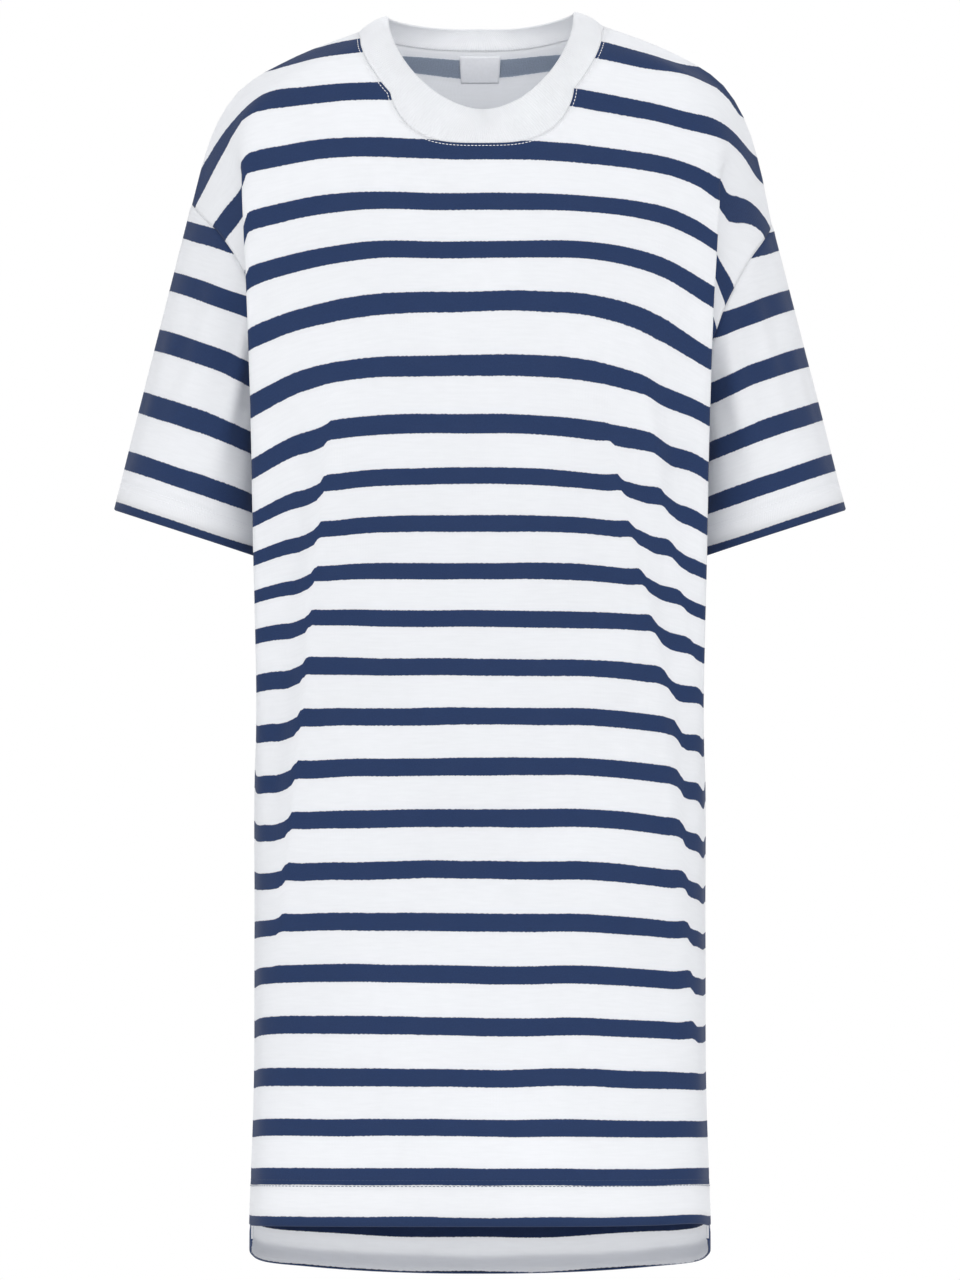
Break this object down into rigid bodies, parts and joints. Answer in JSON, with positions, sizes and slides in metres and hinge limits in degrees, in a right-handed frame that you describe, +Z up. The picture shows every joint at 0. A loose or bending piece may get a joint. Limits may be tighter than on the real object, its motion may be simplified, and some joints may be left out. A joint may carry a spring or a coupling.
{
  "type": "nightshirt",
  "caption": "Knee-length striped jersey nightshirt in its worn form, hollow, with a round ribbed neckband, dropped shoulders, short wide sleeves and a stepped hem longer at the back.",
  "frame": {"origin": "midway between the wearer's two shoulders, at the height where they carry the garment and half way through it from front to back", "axes": "+Z up along the wearer's body, -Y towards the front of the garment, +X to the right as seen from the front"},
  "size_m": [0.5868, 0.2335, 1.0132],
  "materials": {
    "striped_jersey": "matt cotton jersey, white with horizontal navy stripes",
    "white_rib": "matt white cotton rib",
    "label_tape": "smooth blank woven tape"
  },
  "bodies": {
    "root": {"front_panel": "striped_jersey", "back_panel": "striped_jersey", "sleeve_left": "striped_jersey", "sleeve_right": "striped_jersey", "neckband": "white_rib", "neck_label": "label_tape"}
  },
  "joints": []
}
